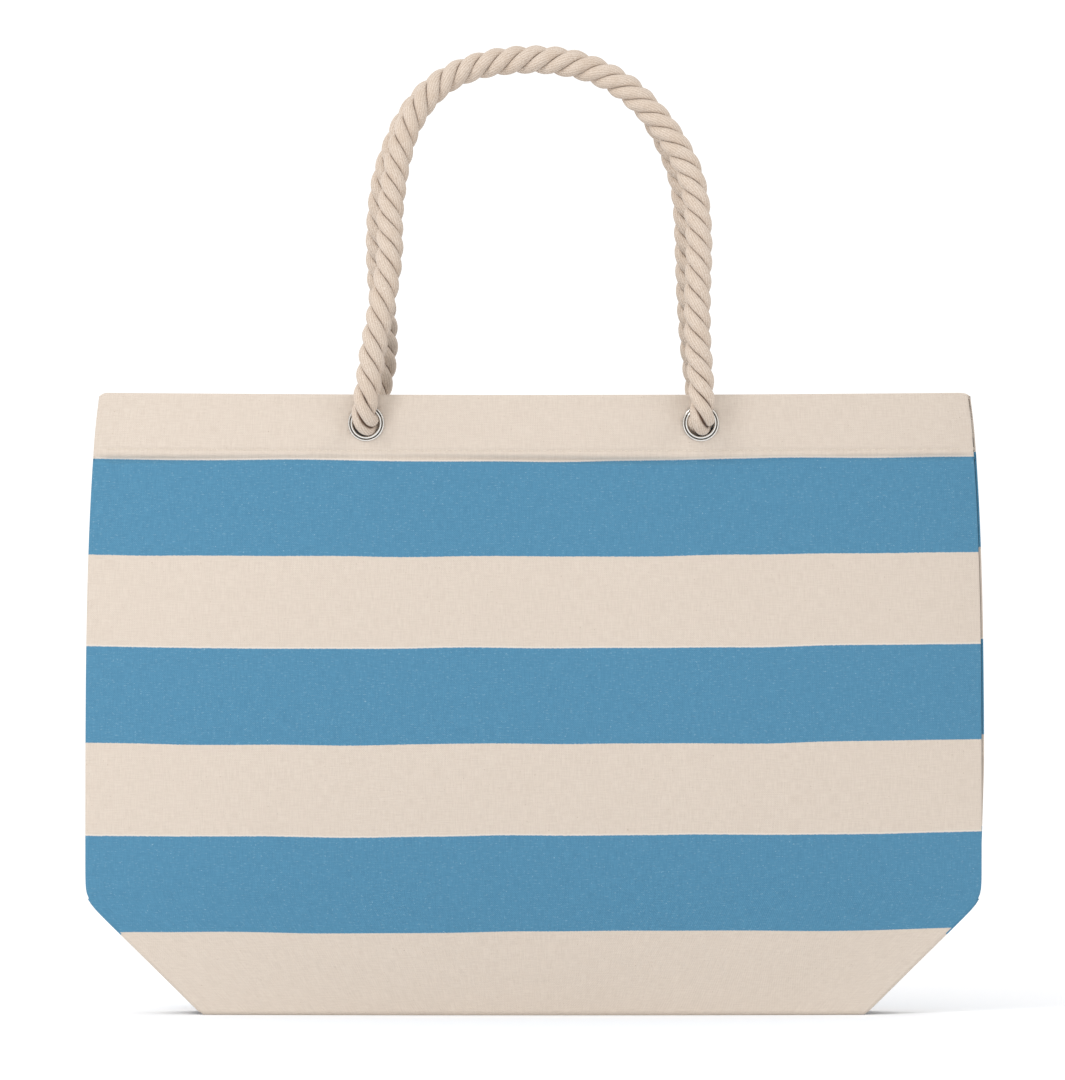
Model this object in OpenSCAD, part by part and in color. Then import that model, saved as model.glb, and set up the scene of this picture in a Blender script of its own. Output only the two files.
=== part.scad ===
// Striped canvas beach bag with a boxed bottom and two twisted rope handles.
// It stands slightly open. Millimetres, +X right, +Y to the back, +Z up.
// The origin is the middle of its footprint, on the ground.

/* [Bag] */
// Width across the side seams, low down
body_w = 540; // [450:1:648]
// Width across the side seams at the rim
mouth_w = 524; // [436:1:630]
// Height of the cloth body, ground to rim
body_h = 374; // [310:1:450]
// Front to back across the open mouth
mouth_d = 100; // [83:1:130]
// Front to back across the two creases that it stands on
base_d = 54; // [45:1:66]
// Depth of the boxed bottom when it is opened out
gusset_d = 144; // [120:1:174]
// Shape of the panels in plan: 2 is a lens, more is flatter in the middle
bow = 2.5; // [2:0.1:3.5]

/* [Cloth] */
// Thickness of the canvas
cloth_t = 1.2; // [0.8:0.1:1.6]
// Width of the pressed crease along each bottom edge
crease_w = 6; // [5:0.5:8]
// Depth of the hem that is turned in at the rim
hem_h = 37; // [31:1:45]
// Height of the stitch line above the hem's lower edge
stitch_up = 3; // [2:0.5:6]
// Thickness of the sewing thread
thread_d = 0.8; // [0.5:0.1:1.2]
// Width of the seam allowances inside
seam_w = 10; // [8:0.5:13]

/* [Eyelets] */
// Distance of each eyelet from the middle of the panel
eyelet_x = 100; // [83:1:120]
// Drop from the rim to the middle of an eyelet
eyelet_drop = 19; // [16:1:22]
// Width of the eyelet's flange outside its bore
flange_w = 2.9; // [2.4:0.1:4]
// Thickness of the eyelet's flange
flange_t = 1.4; // [1:0.1:2]
// Thickness of the eyelet's barrel
barrel_t = 0.6; // [0.4:0.1:0.8]
// Thickness of the washer behind the cloth
washer_t = 0.8; // [0.5:0.1:1.2]

/* [Rope] */
// Diameter of the rope
rope_d = 15; // [12.5:0.5:18]
// Rise of a handle from its eyelets to the middle of the rope at its top
handle_rise = 219; // [182:1:263]
// Diameter of a stopper knot
knot_d = 31; // [26:1:36]
// Length of the rope's tail below the middle of its knot
tail_l = 42; // [36:1:50]
// Height of the thread binding at the end of a tail
binding_h = 9; // [7:1:12]

/* [Hidden] */
$fn = 64;

// Clearances
layer_gap = 0.1; // between two layers of cloth that lie on each other
fit_gap = 0.2; // between a metal ring and what it passes through
seam_gap = 0.3; // between the ends of two seams, and under a seam
turn_gap = 0.3; // between a turning handle and the eyelet's flange
apex_gap = 1.5; // from each handle's top to the middle plane
tail_gap = 0.8; // from the binding on each tail to the middle plane

// Colours
CREAM = [0.88, 0.82, 0.76];
ROPE = [0.82, 0.76, 0.70];
THREAD = [0.93, 0.90, 0.85];
METAL = [0.80, 0.80, 0.81];

// The bottom: each half of the gusset rises from its crease to the ridge in the middle
gusset_half = gusset_d / 2;
crease_y = base_d / 2 - crease_w;
ridge_z = sqrt(gusset_half ^ 2 - crease_y ^ 2);
corner_x = body_w / 2 - gusset_half;
lap = cloth_t + layer_gap;

// Half width of the bag at height z: the folded corners below the ridge, the side seams above it
side_bend = 3.8;
function share(z) = (z - ridge_z) / (body_h - ridge_z);
function half_w(z) = z < ridge_z
    ? body_w / 2 - gusset_half * (1 - z / ridge_z)
    : body_w / 2 - (body_w - mouth_w) / 2 * share(z) ^ side_bend;

// Distance from the middle plane: of the gusset's underside, of the panel's fullest place, and of
// the panel's outside at the share u of its half width
belly_bend = 2.5;
function gusset_y(z) = z < ridge_z ? crease_y * (1 - z / ridge_z) : 0;
function belly_y(z) = mouth_d / 2 - (mouth_d - base_d) / 2 * (1 - z / body_h) ^ belly_bend;
function panel_y(u, z) = gusset_y(z) + lap + (belly_y(z) - gusset_y(z) - lap) * (1 - abs(u) ^ bow);

// Places of the columns, as shares of the half width. Each eyelet sits in the middle of a flat pad
// between two columns, and the others are closer together towards the side seams.
eyelet_z = body_h - eyelet_drop;
eyelet_u = eyelet_x / half_w(eyelet_z);
pad_u = 14 / half_w(eyelet_z);
pad_in = eyelet_u - pad_u;
pad_out = eyelet_u + pad_u;
HALF_US = [pad_in / 2, pad_in, pad_out, 0.62, 0.73, 0.82, 0.89, 0.94, 0.975, 1];
US = concat([for (i = [len(HALF_US) - 1:-1:0]) -HALF_US[i]], [0], HALF_US);
HEM_US = [for (i = [2:len(US) - 3]) US[i]];

// Heights of the rows
crease_h = 4;
hem_z = body_h - hem_h;
GUSSET_ROWS = 4;
SIDE_ROWS = 5;
gusset_low = 0.6;
GUSSET_ZS = [for (i = [0:GUSSET_ROWS]) max(gusset_low, ridge_z * i / GUSSET_ROWS)];
PANEL_ZS = concat(
    [0, crease_h],
    [for (i = [1:GUSSET_ROWS]) ridge_z * i / GUSSET_ROWS],
    [for (i = [1:SIDE_ROWS]) ridge_z + (hem_z - ridge_z) * i / SIDE_ROWS],
    [body_h]
);

// The eyelets stand square on their pads
pad_in_y = panel_y(pad_in, eyelet_z);
pad_out_y = panel_y(pad_out, eyelet_z);
eyelet_y = (pad_in_y + pad_out_y) / 2;
eyelet_turn = atan((pad_in_y - pad_out_y) / (2 * pad_u * half_w(eyelet_z)));
rope_r = rope_d / 2;
bore_r = rope_r + 0.5;
hole_r = bore_r + barrel_t + fit_gap;
flange_r = bore_r + flange_w;
stack_t = 2 * cloth_t + layer_gap;
washer_z = -stack_t - layer_gap - washer_t;
lip_t = 0.9;
lip_w = 2.4;
lip_z = washer_z - layer_gap - lip_t;
neck_top = layer_gap + flange_t;

// Handles: they turn about a line in front of the eyelets. Each row is how far to the right, how far
// leaned in and how high above that line the middle of the rope is.
pivot_y = ceil(eyelet_y + layer_gap + flange_t + turn_gap + rope_r);
neck_out = 1;
FRONT_ROUTE = [
    [-101, 0, 0], [-99, 0, 20], [-96, 1, 42], [-92, 4, 64], [-88, 8, 85], [-86, 12, 104],
    [-86, 17, 124], [-84, 22, 143], [-81, 27, 160], [-76, 32, 177], [-67, 37, 193], [-54, 42, 206],
    [-38, 45, 214], [-19, 46, 218], [2, 46, 219], [20, 46, 217], [38, 45, 212], [55, 41, 202],
    [72, 36, 186], [85, 30, 168], [94, 24, 149], [98, 18, 128], [99, 12, 104], [98, 6, 78],
    [98, 2, 51], [100, 0, 24], [101, 0, 0]
];
BACK_ROUTE = [
    [-101, 0, 0], [-95, 0, 20], [-91, 1, 42], [-91, 4, 63], [-93, 8, 85], [-94, 13, 108],
    [-93, 19, 130], [-90, 25, 150], [-84, 31, 168], [-76, 36, 185], [-63, 41, 201], [-46, 44, 212],
    [-24, 46, 219], [0, 46, 221], [22, 46, 219], [42, 45, 212], [60, 41, 201], [73, 36, 186],
    [83, 30, 168], [90, 23, 149], [93, 17, 128], [94, 11, 105], [95, 6, 79], [97, 2, 51],
    [100, 0, 24], [101, 0, 0]
];
ROUTE_HALF = 101;
ROUTE_LEAN = 46;
ROUTE_RISE = 219;
function loop_points(route) = [for (p = route) [
    p[0] * (eyelet_x + neck_out) / ROUTE_HALF,
    -pivot_y + p[1] * (pivot_y - rope_r - apex_gap) / ROUTE_LEAN,
    eyelet_z + p[2] * handle_rise / ROUTE_RISE
]];

// A closed sheet between two grids of points: near faces -Y, far faces +Y, rows run up and
// columns run to +X. Both sides split along the same diagonal, so that layers lie even
function quad(a, b, c, d) = [[a, b, c], [a, c, d]];
module slab(near, far) {
    rows = len(near);
    cols = len(near[0]);
    n = rows * cols;
    points = concat([for (r = near) each r], [for (r = far) each r]);
    faces = concat(
        [for (r = [0:rows - 2], c = [0:cols - 2], p = [r * cols + c])
            each quad(p, p + cols, p + cols + 1, p + 1)],
        [for (r = [0:rows - 2], c = [0:cols - 2], p = [n + r * cols + c])
            each quad(p, p + 1, p + cols + 1, p + cols)],
        [for (c = [0:cols - 2]) each quad(c, c + 1, n + c + 1, n + c)],
        [for (c = [0:cols - 2], p = [(rows - 1) * cols + c]) each quad(p + 1, p, n + p, n + p + 1)],
        [for (r = [0:rows - 2], p = [r * cols]) each quad(p + cols, p, n + p, n + p + cols)],
        [for (r = [0:rows - 2], p = [(r + 1) * cols - 1]) each quad(p, p + cols, n + p + cols, n + p)]
    );
    polyhedron(points, faces, convexity = 6);
}

// A layer that follows the panel: out and in are its two faces, measured outwards from the
// panel's outside
module layer(us, zs, out, in) {
    slab(
        [for (z = zs) [for (u = us) [u * half_w(z), -panel_y(u, z) - out, z]]],
        [for (z = zs) [for (u = us) [u * half_w(z), -panel_y(u, z) - in, z]]]
    );
}

// The panel's face, filled along its lower edge where the crease is pressed flat
module face() {
    slab(
        [for (z = PANEL_ZS) [for (u = US) [u * half_w(z), -panel_y(u, z), z]]],
        [for (z = PANEL_ZS) [for (u = US) [
            u * half_w(z),
            z == 0 ? -crease_y - layer_gap : -panel_y(u, z) + cloth_t,
            z
        ]]]
    );
}

// The panel's share of the bottom, from its crease up to the ridge
GUSSET_REACH = 0.985;
gusset_t = cloth_t * gusset_half / ridge_z;
module gusset() {
    slab(
        [for (z = GUSSET_ZS) [for (u = US)
            [GUSSET_REACH * u * half_w(z), -gusset_y(z) - layer_gap - gusset_t, z]]],
        [for (z = GUSSET_ZS) [for (u = US)
            [GUSSET_REACH * u * half_w(z), -gusset_y(z) - layer_gap, z]]]
    );
}

// Local frame of the eyelet on side s of the front panel: z points out of the bag, y up
module at_eyelet(s) {
    translate([s * eyelet_x, -eyelet_y, eyelet_z]) rotate([90, 0, s * eyelet_turn]) children();
}

module eyelet_holes() {
    for (s = [-1, 1]) at_eyelet(s) translate([0, 0, -2 * stack_t]) cylinder(r = hole_r, h = 4 * stack_t);
}

module to_back() {
    mirror([0, 1, 0]) children();
}

// One cut of cloth: the face and its share of the bottom, at the height of the body
module panel() {
    difference() {
        resize([0, 0, body_h]) union() {
            face();
            gusset();
        }
        eyelet_holes();
    }
}

module hem() {
    difference() {
        layer(HEM_US, [hem_z, body_h], -cloth_t - layer_gap, -stack_t);
        eyelet_holes();
    }
}

module hem_stitching() {
    z = hem_z + stitch_up;
    layer(HEM_US, [z - thread_d / 2, z + thread_d / 2], layer_gap + thread_d / 2, layer_gap);
}

// A seam's allowance lies between the two panels and turns along the ridge at its foot
seam_t = 2;
seam_in = 4;
module side_seam() {
    zs = [for (z = PANEL_ZS) if (z >= ridge_z) z];
    outer = [for (z = zs) [half_w(z) - seam_in, max(z, ridge_z + seam_gap)]];
    inner = [for (i = [len(zs) - 1:-1:1]) [half_w(zs[i]) - seam_in - seam_w, zs[i]]];
    foot = [
        [half_w(ridge_z) - seam_in - seam_w, ridge_z + seam_gap + seam_w],
        [corner_x + seam_t / 2 + seam_gap, ridge_z + seam_gap + seam_w],
        [corner_x + seam_t / 2 + seam_gap, ridge_z + seam_gap]
    ];
    rotate([90, 0, 0]) linear_extrude(seam_t, center = true) polygon(concat(outer, inner, foot));
}

module bottom_strip() {
    length = 2 * (corner_x - seam_t / 2 - seam_gap);
    translate([-length / 2, -seam_t / 2, ridge_z + seam_gap]) cube([length, seam_t, seam_w]);
}

// The boxed corner's allowance is a fin that follows the gusset down from the ridge on both sides
module corner_fin(s) {
    foot_z = 0.35 * ridge_z;
    knee_z = 0.6 * ridge_z;
    under = layer_gap + gusset_t + seam_gap;
    half = [
        [0, ridge_z + seam_gap],
        [under, ridge_z + seam_gap],
        [gusset_y(foot_z) + under, foot_z],
        [gusset_y(foot_z) + under + 1, foot_z],
        [gusset_y(knee_z) + 0.75 * seam_w, knee_z],
        [0, ridge_z + seam_gap + seam_w]
    ];
    outline = concat(half, [for (i = [len(half) - 2:-1:1]) [-half[i][0], half[i][1]]]);
    translate([s * corner_x - seam_t / 2, 0, 0])
        rotate([90, 0, 90]) linear_extrude(seam_t) polygon(outline);
}

module eyelet(s) {
    top = layer_gap + flange_t;
    round_r = flange_t * 0.6;
    at_eyelet(s) rotate_extrude() polygon(concat(
        [[bore_r, lip_z], [bore_r + lip_w, lip_z], [bore_r + lip_w, lip_z + lip_t]],
        [[bore_r + barrel_t, lip_z + lip_t], [bore_r + barrel_t, layer_gap], [flange_r, layer_gap]],
        [for (a = [0:30:90]) [flange_r - round_r * (1 - cos(a)), top - round_r * (1 - sin(a))]],
        [for (a = [90:-30:0]) [bore_r + round_r * (1 - cos(a)), top - round_r * (1 - sin(a))]]
    ));
}

module washer(s) {
    at_eyelet(s) translate([0, 0, washer_z]) difference() {
        cylinder(r = flange_r - 0.3, h = washer_t);
        translate([0, 0, -1]) cylinder(r = hole_r, h = washer_t + 2);
    }
}

// The rope's end: a neck through the eyelet, the stopper knot behind it and a tail that droops just
// short of the bag's middle plane. The knot fills the room between the eyelet's lip and the tail.
// Each row is how far up, how far out of the bag, and the radius there.
knot_r = knot_d / 2;
binding_r = rope_r + layer_gap + thread_d;
tail_z = binding_r + tail_gap - eyelet_y;
knot_l = lip_z - fit_gap - tail_z - rope_r;
knot_z = tail_z + rope_r + knot_l / 2;
KNOT_RINGS = [
    [0, neck_top, rope_r], [0, knot_z + knot_l / 2, rope_r],
    [0, knot_z + 0.4 * knot_l, 0.72 * knot_r], [0, knot_z + 0.2 * knot_l, knot_r],
    [0, knot_z - 0.1 * knot_l, knot_r], [-1, knot_z - 0.35 * knot_l, 0.8 * knot_r],
    [-2, knot_z - 0.5 * knot_l, rope_r], [-6, tail_z + 3, rope_r], [-12, tail_z + 0.5, rope_r],
    [-18, tail_z, rope_r], [-tail_l, tail_z, rope_r]
];
module knot(s) {
    path = [for (k = KNOT_RINGS) [0, k[0], k[1]]];
    at_eyelet(s) swept([for (i = [0:len(path) - 1])
        ring(path[i], heading(path, i), KNOT_RINGS[i][2], [1, 0, 0])]);
}

module binding(s) {
    at_eyelet(s) translate([0, -tail_l + binding_h + 3, tail_z]) rotate([90, 0, 0]) difference() {
        cylinder(r = binding_r, h = binding_h);
        translate([0, 0, -1]) cylinder(r = rope_r + layer_gap, h = binding_h + 2);
    }
}

// A rope swept along its points. A ring has its first point along the direction across.
ROPE_SIDES = 12;
function unit(v) = v / norm(v);
function heading(path, i) = unit(path[min(i + 1, len(path) - 1)] - path[max(i - 1, 0)]);
function ring(centre, t, r, across) = let(up = unit(cross(t, across)), side = cross(up, t)) [
    for (k = [0:ROPE_SIDES - 1]) let(a = 360 * k / ROPE_SIDES)
        centre + r * (cos(a) * side + sin(a) * up)
];
module swept(rings) {
    n = ROPE_SIDES;
    count = len(rings);
    faces = concat(
        [[for (k = [n - 1:-1:0]) k]],
        [for (r = [0:count - 2], k = [0:n - 1], p = [r * n], q = [(k + 1) % n])
            each quad(p + k, p + q, p + n + q, p + n + k)],
        [[for (k = [0:n - 1]) (count - 1) * n + k]]
    );
    polyhedron([for (r = rings) each r], faces, convexity = 8);
}

// A handle: the rope's loop, with round ends where it turns
function round_end(centre, t, angles) = [for (a = angles)
    ring(centre + rope_r * sin(a) * t, t, rope_r * cos(a), [0, 1, 0])];
module rope(path) {
    last = len(path) - 1;
    swept(concat(
        round_end(path[0], [0, 0, 1], [-75, -50, -25, 0]),
        [for (i = [1:last - 1]) ring(path[i], heading(path, i), rope_r, [0, 1, 0])],
        round_end(path[last], [0, 0, -1], [0, 25, 50, 75])
    ));
}

module front_panel() { color(CREAM) panel(); }
module back_panel() { color(CREAM) to_back() panel(); }
module front_hem() { color(CREAM) hem(); }
module back_hem() { color(CREAM) to_back() hem(); }
module front_hem_stitching() { color(THREAD) hem_stitching(); }
module back_hem_stitching() { color(THREAD) to_back() hem_stitching(); }
module left_side_seam() { color(CREAM) mirror([1, 0, 0]) side_seam(); }
module right_side_seam() { color(CREAM) side_seam(); }
module bottom_seam() { color(CREAM) bottom_strip(); }
module left_corner_seam() { color(CREAM) corner_fin(-1); }
module right_corner_seam() { color(CREAM) corner_fin(1); }
module front_left_eyelet() { color(METAL) eyelet(-1); }
module front_right_eyelet() { color(METAL) eyelet(1); }
module back_left_eyelet() { color(METAL) to_back() eyelet(-1); }
module back_right_eyelet() { color(METAL) to_back() eyelet(1); }
module front_left_washer() { color(METAL) washer(-1); }
module front_right_washer() { color(METAL) washer(1); }
module back_left_washer() { color(METAL) to_back() washer(-1); }
module back_right_washer() { color(METAL) to_back() washer(1); }
module front_left_knot() { color(ROPE) knot(-1); }
module front_right_knot() { color(ROPE) knot(1); }
module back_left_knot() { color(ROPE) to_back() knot(-1); }
module back_right_knot() { color(ROPE) to_back() knot(1); }
module front_left_binding() { color(THREAD) binding(-1); }
module front_right_binding() { color(THREAD) binding(1); }
module back_left_binding() { color(THREAD) to_back() binding(-1); }
module back_right_binding() { color(THREAD) to_back() binding(1); }
module front_handle() { color(ROPE) rope(loop_points(FRONT_ROUTE)); }
module back_handle() { color(ROPE) to_back() rope(loop_points(BACK_ROUTE)); }

front_panel();
back_panel();
front_hem();
back_hem();
front_hem_stitching();
back_hem_stitching();
left_side_seam();
right_side_seam();
bottom_seam();
left_corner_seam();
right_corner_seam();
front_left_eyelet();
front_right_eyelet();
back_left_eyelet();
back_right_eyelet();
front_left_washer();
front_right_washer();
back_left_washer();
back_right_washer();
front_left_knot();
front_right_knot();
back_left_knot();
back_right_knot();
front_left_binding();
front_right_binding();
back_left_binding();
back_right_binding();
front_handle();
back_handle();
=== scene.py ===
# A striped canvas beach bag with rope handles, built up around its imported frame.
import math

import bmesh
import bpy
import numpy as np
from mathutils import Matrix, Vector


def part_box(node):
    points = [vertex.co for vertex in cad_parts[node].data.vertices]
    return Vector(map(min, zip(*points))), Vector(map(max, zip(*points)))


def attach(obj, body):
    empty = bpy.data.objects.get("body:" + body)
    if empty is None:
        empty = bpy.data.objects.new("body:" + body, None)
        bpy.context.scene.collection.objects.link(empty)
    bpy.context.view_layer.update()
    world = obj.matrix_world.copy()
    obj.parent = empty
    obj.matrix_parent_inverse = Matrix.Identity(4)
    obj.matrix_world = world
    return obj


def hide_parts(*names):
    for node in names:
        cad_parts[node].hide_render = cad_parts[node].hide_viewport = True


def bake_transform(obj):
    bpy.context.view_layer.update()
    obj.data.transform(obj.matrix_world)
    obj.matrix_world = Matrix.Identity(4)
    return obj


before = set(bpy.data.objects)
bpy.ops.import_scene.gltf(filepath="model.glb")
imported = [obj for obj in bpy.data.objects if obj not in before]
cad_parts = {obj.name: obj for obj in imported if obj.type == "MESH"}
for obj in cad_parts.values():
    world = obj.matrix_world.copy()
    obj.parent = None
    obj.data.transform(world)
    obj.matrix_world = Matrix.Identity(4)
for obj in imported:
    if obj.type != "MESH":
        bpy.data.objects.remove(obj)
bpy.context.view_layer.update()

# ---- Studio: a white floor under a white sky, one large soft light high on the left, and a long
# lens straight in front of the bag, level with the middle of its height.
HANDLE_TOP = max(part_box("front_handle")[1][2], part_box("back_handle")[1][2])
FRAME_W = 1065
FRAME_H = 1080
SENSOR = 36.0
VIEW_H = 0.6517
VIEW_X = -0.0006
LENS_DISTANCE = 5.0
LENS_Z = HANDLE_TOP - 0.2984
FLOOR_SIZE = 12
FLOOR_Z = -0.0002
FLOOR_WHITE = (0.97, 0.97, 0.98, 1)
SKY_STRENGTH = 1.10

camera_data = bpy.data.cameras.new("camera")
camera_data.sensor_fit = "HORIZONTAL"
camera_data.sensor_width = SENSOR
camera_data.lens = SENSOR * LENS_DISTANCE / (VIEW_H * FRAME_W / FRAME_H)
camera = bpy.data.objects.new("camera", camera_data)
camera.location = (VIEW_X, -LENS_DISTANCE, LENS_Z)
camera.rotation_euler = (math.pi / 2, 0, 0)
bpy.context.scene.collection.objects.link(camera)
bpy.context.scene.camera = camera

bpy.context.scene.view_settings.view_transform = "Standard"
bpy.context.scene.view_settings.look = "None"

bpy.ops.object.select_all(action="DESELECT")
bpy.ops.mesh.primitive_plane_add(size=FLOOR_SIZE, location=(0, 0, FLOOR_Z))
floor = bpy.context.object
floor.name = "floor"

world = bpy.data.worlds.new("sky")
bpy.context.scene.world = world
world.use_nodes = True
sky = world.node_tree.nodes["Background"]
sky.inputs["Color"].default_value = (1, 1, 1, 1)
sky.inputs["Strength"].default_value = SKY_STRENGTH


def soft_light(name, place, aim, size, watts):
    data = bpy.data.lights.new(name, "AREA")
    data.size = size
    data.energy = watts
    light = bpy.data.objects.new(name, data)
    light.location = place
    light.rotation_euler = (Vector(aim) - Vector(place)).to_track_quat("-Z", "Y").to_euler()
    bpy.context.scene.collection.objects.link(light)


soft_light("key", place=(-2.6, -2.9, 3.5), aim=(0, 0, 0.25), size=1.5, watts=64)


# Shader maths: a socket that can be added, multiplied and so on, and one way to make any node.
class Shade:
    def __init__(self, tree, socket):
        self.tree = tree
        self.socket = socket

    def node(self, kind, settings=None, **inputs):
        """Any node: settings go on it first, then inputs by socket name, or in_N for socket number N."""
        made = self.tree.nodes.new("ShaderNode" + kind)
        for key, value in (settings or {}).items():
            if key == "stops":
                ramp = made.color_ramp
                while len(ramp.elements) < len(value):
                    ramp.elements.new(0.5)
                for element, (at, colour) in zip(ramp.elements, value):
                    element.position = at
                    element.color = (*colour, 1)
            else:
                setattr(made, key, value)
        for key, value in inputs.items():
            name = key.replace("_", " ")
            if key[-1].isdigit() and key[-2] == "_":
                target = made.inputs[int(key.split("_")[-1])]
            else:
                target = made.inputs[name]
            if isinstance(value, Shade):
                self.tree.links.new(value.socket, target)
            else:
                target.default_value = value
        return made

    def out(self, made, name=0):
        return Shade(self.tree, made.outputs[name])

    def maths(self, operation, *values):
        sockets = {f"in_{i}": value for i, value in enumerate(values)}
        return self.out(self.node("Math", {"operation": operation}, **sockets))

    def __add__(self, other):
        return self.maths("ADD", self, other)

    __radd__ = __add__

    def __mul__(self, other):
        return self.maths("MULTIPLY", self, other)

    __rmul__ = __mul__

    def __sub__(self, other):
        return self.maths("SUBTRACT", self, other)

    def __rsub__(self, other):
        return self.maths("SUBTRACT", other, self)

    def __truediv__(self, other):
        return self.maths("DIVIDE", self, other)

    def smooth(self, low, high):
        """A soft step from 0 at low to 1 at high."""
        made = self.node(
            "MapRange", {"interpolation_type": "SMOOTHSTEP"}, Value=self, From_Min=low, From_Max=high
        )
        return self.out(made)

    def mix(self, first, second):
        """first where this value is 0, second where it is 1."""
        made = self.node("Mix", {"data_type": "RGBA"}, in_0=self, in_6=first, in_7=second)
        return self.out(made, 2)

    def noise(self, vector, scale, detail=2.0, rough=0.5):
        made = self.node("TexNoise", Vector=vector, Scale=scale, Detail=detail, Roughness=rough)
        return self.out(made)

    def stretch(self, vector, scale):
        made = self.node("Mapping", Vector=vector, Scale=scale)
        return self.out(made)


def new_material(name, roughness=0.9, metallic=0.0, sheen=0.0):
    material = bpy.data.materials.new(name)
    material.use_nodes = True
    shader = material.node_tree.nodes["Principled BSDF"]
    shader.inputs["Roughness"].default_value = roughness
    shader.inputs["Metallic"].default_value = metallic
    shader.inputs["Sheen Weight"].default_value = sheen
    shader.inputs["Specular IOR Level"].default_value = 0.25
    return material, shader, Shade(material.node_tree, None)


def give_bump(shade, shader, height, strength, distance):
    made = shade.node("Bump", Height=height, Strength=strength, Distance=distance)
    shade.tree.links.new(made.outputs[0], shader.inputs["Normal"])


def give_colour(shade, shader, colour):
    shade.tree.links.new(colour.socket, shader.inputs["Base Color"])


def colour4(rgb):
    """A display colour, 0 to 255, as the linear colour that a shader takes."""
    return (*(((c / 255 + 0.055) / 1.055) ** 2.4 for c in rgb), 1)


floor_material, shader, _ = new_material("white_floor", roughness=0.9)
shader.inputs["Base Color"].default_value = FLOOR_WHITE
floor.data.materials.append(floor_material)

# ---- Cloth body: two cuts of striped cotton canvas. Each runs from the seam along the ridge of the
# bottom, out to the crease that the bag stands on, up the side, over the rim and down as a hem.
HALF_W, _, BODY_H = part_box("front_panel")[1]
CREASE_Y = 0.021
RIDGE_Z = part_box("bottom_seam")[0][2] - 0.0003
SEAM_INSET = 0.0013
CORNER_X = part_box("bottom_seam")[1][0] + SEAM_INSET
GUSSET = HALF_W - CORNER_X
MOUTH_HALF_W = 0.262
MOUTH_Y = 0.050
BASE_Y = 0.027
LAP = 0.0013
HEM_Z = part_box("front_hem")[0][2]
SIDE_POWER = 3.8
CORNER_EASE = 0.003
RIM_DROOP = 0.0022
RIM_TIP_DROP = 0.0022


def half_w(z):
    """Half the bag's width at a height: narrower at the mouth, cut in at the foot, rounded between."""
    share = np.clip((z - RIDGE_Z) / (BODY_H - RIDGE_Z), 0, 1.02)
    side = HALF_W - (HALF_W - MOUTH_HALF_W) * share**SIDE_POWER
    corner = HALF_W - GUSSET * (1 - z / RIDGE_Z)
    return -CORNER_EASE * np.logaddexp(-side / CORNER_EASE, -corner / CORNER_EASE)


def droop(u, z):
    """How far the cloth hangs below its level at the side seams, and the rounding of the rim's ends."""
    tip = np.clip((np.abs(u) - 0.982) / 0.018, 0, 1) ** 2 * np.clip((z - 0.358) / 0.016, 0, 1)
    return RIM_DROOP * (1 - u**2) * np.clip(z / BODY_H, 0, 1) ** 3 + RIM_TIP_DROP * tip


def gusset_y(z):
    """How far out the folded bottom stands, from its crease up to its ridge."""
    return np.where(z < RIDGE_Z, CREASE_Y * (1 - z / RIDGE_Z), 0.0)


def belly_y(z):
    """How far out the middle of the panel stands at a height."""
    return MOUTH_Y - (MOUTH_Y - BASE_Y) * np.clip(1 - z / BODY_H, 0, 1) ** 2.5


def panel_y(u, z):
    """The plain form of a panel, before its folds; u runs from -1 to 1 across it."""
    return gusset_y(z) + LAP + (belly_y(z) - gusset_y(z) - LAP) * (1 - np.abs(u) ** 2.5)


STITCH_Z = HEM_Z + 0.003
EYELET_X = 0.1
EYELET_Z = 0.355
EYELET_HOLE_R = 0.0093
EYELET_FACE_Y = 0.0454
EYELET_TURN = math.radians(6.165)
EYELET_LEAN = math.tan(EYELET_TURN)
EYELET_PAD_R = 0.0155
PULL_R = 0.034
PULL_H = 0.0018
HEM_STEP = 0.0005
STITCH_PULL = 0.0006
BELOW_HEM_DENT = 0.0028
HOLE_SNAP = (0.0074, 0.0112)
SHEET_T = 0.0011
SEAM_Y = 0.00015


def folds(u, z, turn):
    """How far the cloth stands out from its plain form, in metres."""
    high = np.clip(z / BODY_H, 0, 1)
    soft = 0.0011 * high**3 * np.sin(7.5 * u + 1.1 * turn)
    soft += 0.0009 * high * np.sin(3.9 * u - 9.0 * z + 2.0 * turn)
    soft += 0.0006 * np.sin(11.0 * u + 17.0 * z + turn) * (1 - np.abs(u) ** 4)
    lap = HEM_STEP * np.clip((z - HEM_Z + 0.001) / 0.003, 0, 1)
    pulled = -STITCH_PULL * np.exp(-(((z - STITCH_Z) / 0.0011) ** 2))
    slack = 0.75 + 0.25 * np.sin(6.0 * u + 0.9 + turn)
    under = z - HEM_Z + 0.0024 + 0.0007 * np.sin(5 * u)
    below = -BELOW_HEM_DENT * slack * np.exp(-((under / 0.0018) ** 2))
    pull = 0
    flat = 0
    level = 0
    for side in (-1, 1):
        across, up = u * half_w(z) - side * EYELET_X, z - EYELET_Z
        reach = np.hypot(across, up)
        angle = np.arctan2(up, across)
        pad = np.exp(-((reach / EYELET_PAD_R) ** 4))
        flat = flat + pad
        face_y = EYELET_FACE_Y - (side * u * half_w(z) - EYELET_X) * EYELET_LEAN
        level = level + pad * (face_y - panel_y(u, z))
        near = np.exp(-((reach / PULL_R) ** 2)) * np.clip((reach - 0.009) / 0.006, 0, 1)
        pull = pull + near * (PULL_H * np.cos(4 * angle + 0.7 * side) - 0.0005)
    calm = np.clip((1 - np.abs(u)) / 0.06, 0, 1)
    free = (soft + pull) * calm + lap + (pulled + below) * np.clip(calm + 0.3, 0, 1)
    return free * (1 - flat) + level


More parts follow.
